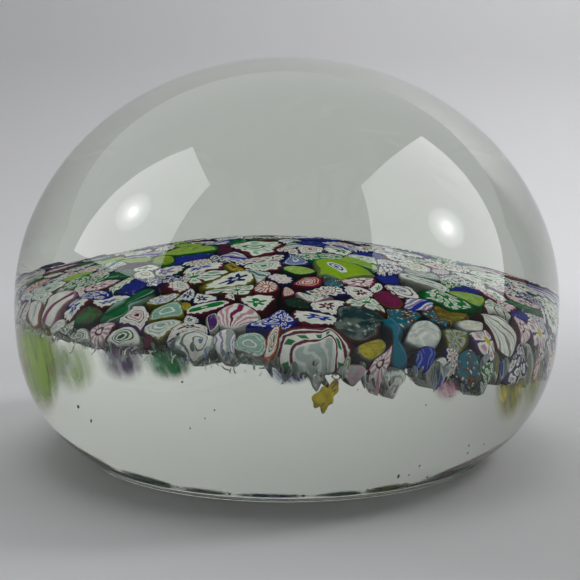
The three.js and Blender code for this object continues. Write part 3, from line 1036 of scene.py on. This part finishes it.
def growWisps(material):  # drawn-out tails of the canes, longest at the right front
    bench, size = treeBench("rim_wisps", wisps)
    spots, cut = rimSpots(bench, size)
    ball = bench.add("GeometryNodeMeshUVSphere", inputs={"Segments": 10, "Rings": 9, "Radius": 1.0})
    x, y, z = bench.split(bench.add("GeometryNodeInputPosition"))
    taper = 0.74 + 0.34 * z
    bent = x * taper + 0.35 * z * z
    shape = bench.join(bent * size["Width"], y * taper * 0.6 * size["Width"], z * size["Length"])
    ball = bench.add("GeometryNodeSetPosition", inputs={"Geometry": ball, "Position": shape})
    ball = bench.add("GeometryNodeSetShadeSmooth", inputs=[ball])
    turn = bench.add("FunctionNodeRandomValue", {"data_type": "FLOAT_VECTOR"}, {
        "Min": (-0.7, -0.7, 0.0), "Max": (0.7, 0.7, 6.3), "Seed": 5})
    grow = bench.add("FunctionNodeRandomValue", inputs={2: 0.3, 3: 1.25, "Seed": 6}, output=1)
    tails = strewn(bench, spots, ball, grow * (1 - cut * 0.55), turn)
    return grown("rim_wisps", bench, tails, material, wisps)


def wispFinish():
    material, bench = materialBench("drawn_tail")
    place = bench.add("ShaderNodeTexCoord", output="Object")
    drawn = bench.vector("MULTIPLY", place, (1.0, 1.0, 0.16))
    streak = bench.noise(drawn, 1500.0, 1.0)
    region = bench.noise(place, 160.0, 1.0)
    colour = bench.mix(bench.past(streak, 0.5, 0.06), glassInks["smoke"], glassInks["frost"])
    tinted = bench.mix(bench.past(region, 0.5, 0.06), glassInks["olive"], glassInks["cobalt"])
    tinted = bench.mix(bench.past(region, 0.42, 0.02), glassInks["maroon"], tinted)
    colour = bench.mix(bench.past(streak, 0.60, 0.03) * 0.9, colour, tinted)
    thin = bench.past(bench.noise(drawn, 900.0, 1.0), 0.36, 0.14)
    dullSurface(bench, colour, thin)
    return material


placed("rim_wisps", growWisps(wispFinish()))

# Smears of colour under the rim, painted refractions that stand in for the images of distant chips
# seen through the glass: inks, compass heading, then distance, height, width and length in
# millimetres, and strength. The flat foot mirrors those at the back.
smears = {
    "lime_smear": ("lime olive", 191, 27.4, 15.7, 10.0, 5.6, 1.3),
    "lime_haze": ("paleLime lime", 208, 26.6, 16.2, 6.0, 3.4, 0.6),
    "purple_smear": ("purple frost", 227, 26.6, 17.7, 4.2, 2.8, 0.8),
    "emerald_smear": ("green mint", 241, 26.8, 17.9, 3.6, 2.3, 1.1),
    "blue_smear": ("cobalt sky", 271, 27.0, 17.3, 3.0, 1.6, 0.9),
    "rose_smear": ("rose magenta", 311, 27.0, 15.0, 2.6, 2.0, 0.7),
    "yellow_smear": ("olive yellow", 335, 27.2, 13.6, 4.2, 3.6, 0.9),
    "yellow_haze": ("olive paleLime", 347, 27.4, 14.4, 4.0, 4.0, 0.7),
    "back_rose_smear": ("rose milk", 59, 26.5, 18.0, 3.6, 1.8, 1.5),
    "back_lime_smear": ("paleLime lime", 73, 26.5, 18.1, 2.0, 1.6, 1.5),
    "back_mint_smear": ("mint green", 81, 26.5, 18.1, 2.4, 1.6, 1.5),
    "back_blue_smear": ("cobalt sky", 92.5, 26.5, 18.1, 3.6, 1.7, 1.4),
    "back_grey_smear": ("frost smoke", 104, 26.5, 18.2, 2.6, 1.6, 1.2),
    "back_green_smear": ("mint green", 114, 26.5, 18.2, 2.6, 1.7, 1.5),
    "back_yellow_smear": ("yellow cream", 124, 26.5, 18.2, 2.6, 1.7, 1.5),
}


# painted refraction: a soft patch of colour that stands in for a refracted image of chips
def smearFinish():
    material, bench = materialBench("painted_refraction_smear")
    place = bench.attribute("cane")
    across, along, _ = bench.split(place)
    strength = bench.attribute("melt", "Fac")
    fade = 1 - bench.past((across * across + along * along).maths("SQRT"), 0.62, 0.36)
    slanted = bench.join(across * 5.0 + along * 2.0, along * 0.8, 0.0)
    streaks = bench.past(bench.noise(slanted, 1.3, 3.0), 0.5, 0.28)
    alpha = fade * strength * (streaks * 1.1 + 0.25)
    inks = [bench.attribute("ink" + letter, "Color") for letter in "AB"]
    colour = bench.mix(bench.past(bench.noise(place, 1.6, 2.0), 0.52, 0.1), *inks)
    dullSurface(bench, colour, alpha.maths("MINIMUM", 1.0), 0.6)
    return material


def makeSmears():
    finish = smearFinish()
    points, faces = plainBall
    for name, (inkNames, heading, distance, height, width, length, strength) in smears.items():
        heading = math.radians(heading)
        ahead = np.array([math.cos(heading), math.sin(heading), 0.0])
        beside = np.array([-ahead[1], ahead[0], 0.0])
        up = np.array([0.0, 0.0, 1.0])
        place = (ahead * distance + up * height) * millimetre
        place = place + points[:, :1] * ahead * 0.25 * millimetre
        place = place + points[:, 1:2] * beside * width * millimetre
        place = place + points[:, 2:3] * (up - ahead * 0.1) * length * millimetre
        mesh = smoothMesh(name, place.tolist(), faces)
        # the melt attribute carries the strength of the painted refraction
        storeCane(mesh, points[:, [1, 2, 0]], np.full(len(points), strength), inkNames)
        mesh.materials.append(finish)
        placed(name, mesh)


makeSmears()

# One bead of colour has dripped from the rim
drip = {
    "heading": math.radians(279), "distance": 27.4 * millimetre, "height": 14.6 * millimetre,
    "width": 1.2 * millimetre, "length": 1.5 * millimetre, "lobes": 0.34,
    "inks": "yellow yellow maroon yellow",
}


def makeDrip():
    points, faces = plainBall
    outward = np.array([math.cos(drip["heading"]), math.sin(drip["heading"])])
    beside = np.array([-outward[1], outward[0]])
    wave = np.sin(points[:, 0] * 5 + points[:, 2] * 4) * np.cos(points[:, 2] * 3)
    lobes = 1 + drip["lobes"] * wave
    shape = points * lobes[:, None] * (drip["width"], drip["width"] * 0.6, drip["length"])
    shape[:, 0] += shape[:, 2] * 0.5
    place = np.column_stack([
        shape[:, :1] * beside + (shape[:, 1:2] + drip["distance"]) * outward,
        shape[:, 2] + drip["height"]])
    mesh = smoothMesh("yellow_drip", place.tolist(), faces)
    storeCane(mesh, points[:, [0, 2, 1]] * 0.9, np.zeros(len(points)), drip["inks"])
    storeFigure(mesh, 5.0, 0.0, 1.0)
    mesh.materials.append(caneFinish["plain"])
    placed("yellow_drip", mesh)


makeDrip()

seeds = {
    "Count": 26, "Spread": 24 * millimetre, "Lowest": 4 * millimetre, "Highest": 15 * millimetre,
    "Size": 0.11 * millimetre, "Seed": 21,
}


def growSeeds(material):
    bench, size = treeBench("glass_seeds", seeds)
    low = bench.join(size["Spread"] * -1.0, size["Spread"] * -1.0, size["Lowest"])
    high = bench.join(size["Spread"], size["Spread"], size["Highest"])
    spot = bench.add("FunctionNodeRandomValue", {"data_type": "FLOAT_VECTOR"}, {
        "Min": low, "Max": high, "Seed": size["Seed"]})
    spots = bench.add("GeometryNodePoints", inputs={"Count": size["Count"], "Position": spot})
    ball = bench.add("GeometryNodeMeshIcoSphere", inputs={
        "Radius": size["Size"], "Subdivisions": 2})
    grow = bench.add("FunctionNodeRandomValue", inputs={2: 0.5, 3: 1.3, "Seed": 3}, output=1)
    balls = strewn(bench, spots, ball, grow)
    return grown("glass_seeds", bench, balls, material, seeds)


def seedFinish():
    material, bench = materialBench("tiny_seed")
    place = bench.add("ShaderNodeTexCoord", output="Object")
    colour = bench.mix(bench.noise(place, 300.0), glassInks["smoke"], glassInks["black"])
    pins = {"Base Color": colour, "Roughness": 0.4}
    finished(bench, bench.add("ShaderNodeBsdfPrincipled", inputs=pins))
    return material


placed("glass_seeds", growSeeds(seedFinish()))
print("fringe, smears and seeds placed")


# floor, backdrop, lights and camera

# the floor colour carries painted shade to the right of the object, and painted light in front of
# it and towards the back
studio = {
    "floor": (178, 178, 179), "paper": (214, 214, 216), "paintedShadeFloor": (160, 160, 160),
    "paintedLightFloor": (200, 200, 202), "sweepStart": 0.20,
    "sweepRadius": 0.09, "width": 1.6, "front": -0.55, "height": 0.32,
    "skyColour": (0.97, 0.99, 1.0, 1.0), "frontSky": 0.10, "backSky": 0.75,
}


def floorFinish():
    material, bench = materialBench("studio_floor")
    place = bench.add("ShaderNodeTexCoord", output="Object")
    grain = bench.noise(place, 18.0, 5.0)
    colour = bench.mix(grain * 0.3, linear(*studio["floor"]), linear(*studio["paper"]))
    toRight, toBack, _ = bench.split(place)
    # painted shade: the floor is darker to the right of the object, short of the back
    paintedShade = bench.past(toRight, 0.03, 0.03) * (1 - bench.past(toBack, 0.06, 0.05))
    colour = bench.mix(paintedShade * 0.8, colour, linear(*studio["paintedShadeFloor"]))
    # painted light: the floor is lighter in front of the object, more so to the left
    nearby = bench.past(-0.01 - toBack - toRight * 0.4, 0.04, 0.012)
    colour = bench.mix(nearby * 0.8, colour, linear(*studio["paintedLightFloor"]))
    # painted light: the floor turns lighter towards the back, up to the paper colour of the
    # backdrop
    colour = bench.mix(bench.past(toBack, 0.08, 0.16), colour, linear(*studio["paper"]))
    pins = {"Base Color": colour, "Roughness": 0.7}
    finished(bench, bench.add("ShaderNodeBsdfPrincipled", inputs=pins))
    return material


def paleFloor():
    points, faces = [], []
    path = [(studio["front"], 0.0), (0.0, 0.0), (studio["sweepStart"], 0.0)]
    for step in range(1, 13):
        turn = step / 12 * math.pi / 2
        radius = studio["sweepRadius"]
        path.append((studio["sweepStart"] + radius * math.sin(turn), radius * (1 - math.cos(turn))))
    path.append((path[-1][0], studio["height"]))
    for y, z in path:
        points += [(-studio["width"] / 2, y, z), (studio["width"] / 2, y, z)]
    for index in range(len(path) - 1):
        low = index * 2
        faces.append((low, low + 1, low + 3, low + 2))
    mesh = smoothMesh("studio_floor", points, faces)
    mesh.materials.append(floorFinish())
    floor = bpy.data.objects.new("studio_floor", mesh)
    bpy.context.scene.collection.objects.link(floor)


# Soft lights: centre, aim, width, height, radiance, roll in degrees; the sky lights the floor
lamps = {
    "left_panel": ((-0.20, -0.085, 0.25), (0.0, -0.085, 0.25), 0.18, 0.34, 3.2, 0),
    "left_core": ((-0.19, -0.058, 0.165), (0.0, -0.03, 0.04), 0.03, 0.03, 22.0, 0),
    "right_panel": ((0.20, -0.100, 0.230), (0.0, -0.100, 0.230), 0.32, 0.30, 3.1, -24),
    "right_core": ((0.19, -0.067, 0.14), (0.0, -0.03, 0.04), 0.03, 0.03, 25.0, 0),
    "backdrop_light": ((0.42, 0.10, 0.42), (0.12, 0.3, 0.19), 0.16, 0.16, 12.0, 0),
    "ceiling_light": ((-0.05, -0.06, 0.60), (-0.04, -0.06, 0.0), 0.30, 0.30, 2.9, 0),
}
glowRings = {0.5: 0.42, 0.8: 0.22, 1.1: 0.14, 1.4: 0.1, 1.7: 0.07, 2.0: 0.05}  # width: share


def softBox(name, centre, aim, width, height, radiance, roll):
    light = bpy.data.lights.new(name, "AREA")
    light.shape = "ELLIPSE" if "core" in name else "RECTANGLE"
    light.size = width
    light.size_y = height
    light.energy = radiance * math.pi * width * height
    light.spread = math.radians(110 if "backdrop" in name else 180)
    box = bpy.data.objects.new(name, light)
    facing = (Vector(aim) - Vector(centre)).to_track_quat("-Z", "Y")
    box.rotation_euler = facing.to_euler()
    box.rotation_euler.rotate_axis("Z", math.radians(roll))
    box.location = centre
    box.visible_camera = False
    reflected = "panel" in name or "core" in name  # these show in the glass and light the canes
    box.visible_diffuse = not reflected
    box.visible_glossy = box.visible_transmission = reflected
    bpy.context.scene.collection.objects.link(box)


paleFloor()
for name, (centre, aim, width, height, radiance, roll) in lamps.items():
    rings = glowRings if "core" in name else {1.0: 1.0}
    for index, (ring, share) in enumerate(rings.items()):  # discs one over another make a soft glow
        size = (width * ring, height * ring)
        softBox(f"{name}_{index + 1}", centre, aim, *size, radiance * share, roll)

world = bpy.data.worlds.new("studio")
bpy.context.scene.world = world
world.use_nodes = True
sky = Bench(world.node_tree)  # a dim room behind the camera, a bright one behind the backdrop
heading = sky.add("ShaderNodeTexCoord", output="Generated")
toFront, upward = sky.split(heading)[1:]
level = sky.past(toFront + upward * 0.35, 0.25, 0.75)
strength = level * (studio["backSky"] - studio["frontSky"]) + studio["frontSky"]
glow = sky.add("ShaderNodeBackground", inputs={"Color": studio["skyColour"], "Strength": strength})
sky.add("ShaderNodeOutputWorld", inputs={"Surface": glow})

viewpoint = {
    "distance": 0.16, "elevation": math.radians(7), "lens": 65.6, "sensor": 36.0,
    "offset": (0.00045, 0, 0.0015),
}
target = Vector((0, 0, glassBody["Equator"]))
back = Vector((0, -math.cos(viewpoint["elevation"]), math.sin(viewpoint["elevation"])))
cameraData = bpy.data.cameras.new("camera")
cameraData.lens = viewpoint["lens"]
cameraData.sensor_width = viewpoint["sensor"]
cameraData.clip_start = 0.005
camera = bpy.data.objects.new("camera", cameraData)
camera.location = target + back * viewpoint["distance"]
facing = target + Vector(viewpoint["offset"]) - camera.location
camera.rotation_euler = facing.to_track_quat("-Z", "Y").to_euler()
bpy.context.scene.collection.objects.link(camera)
bpy.context.scene.camera = camera
bpy.context.scene.view_settings.view_transform = "Standard"
bpy.context.scene.cycles.use_denoising = True
print("studio set")
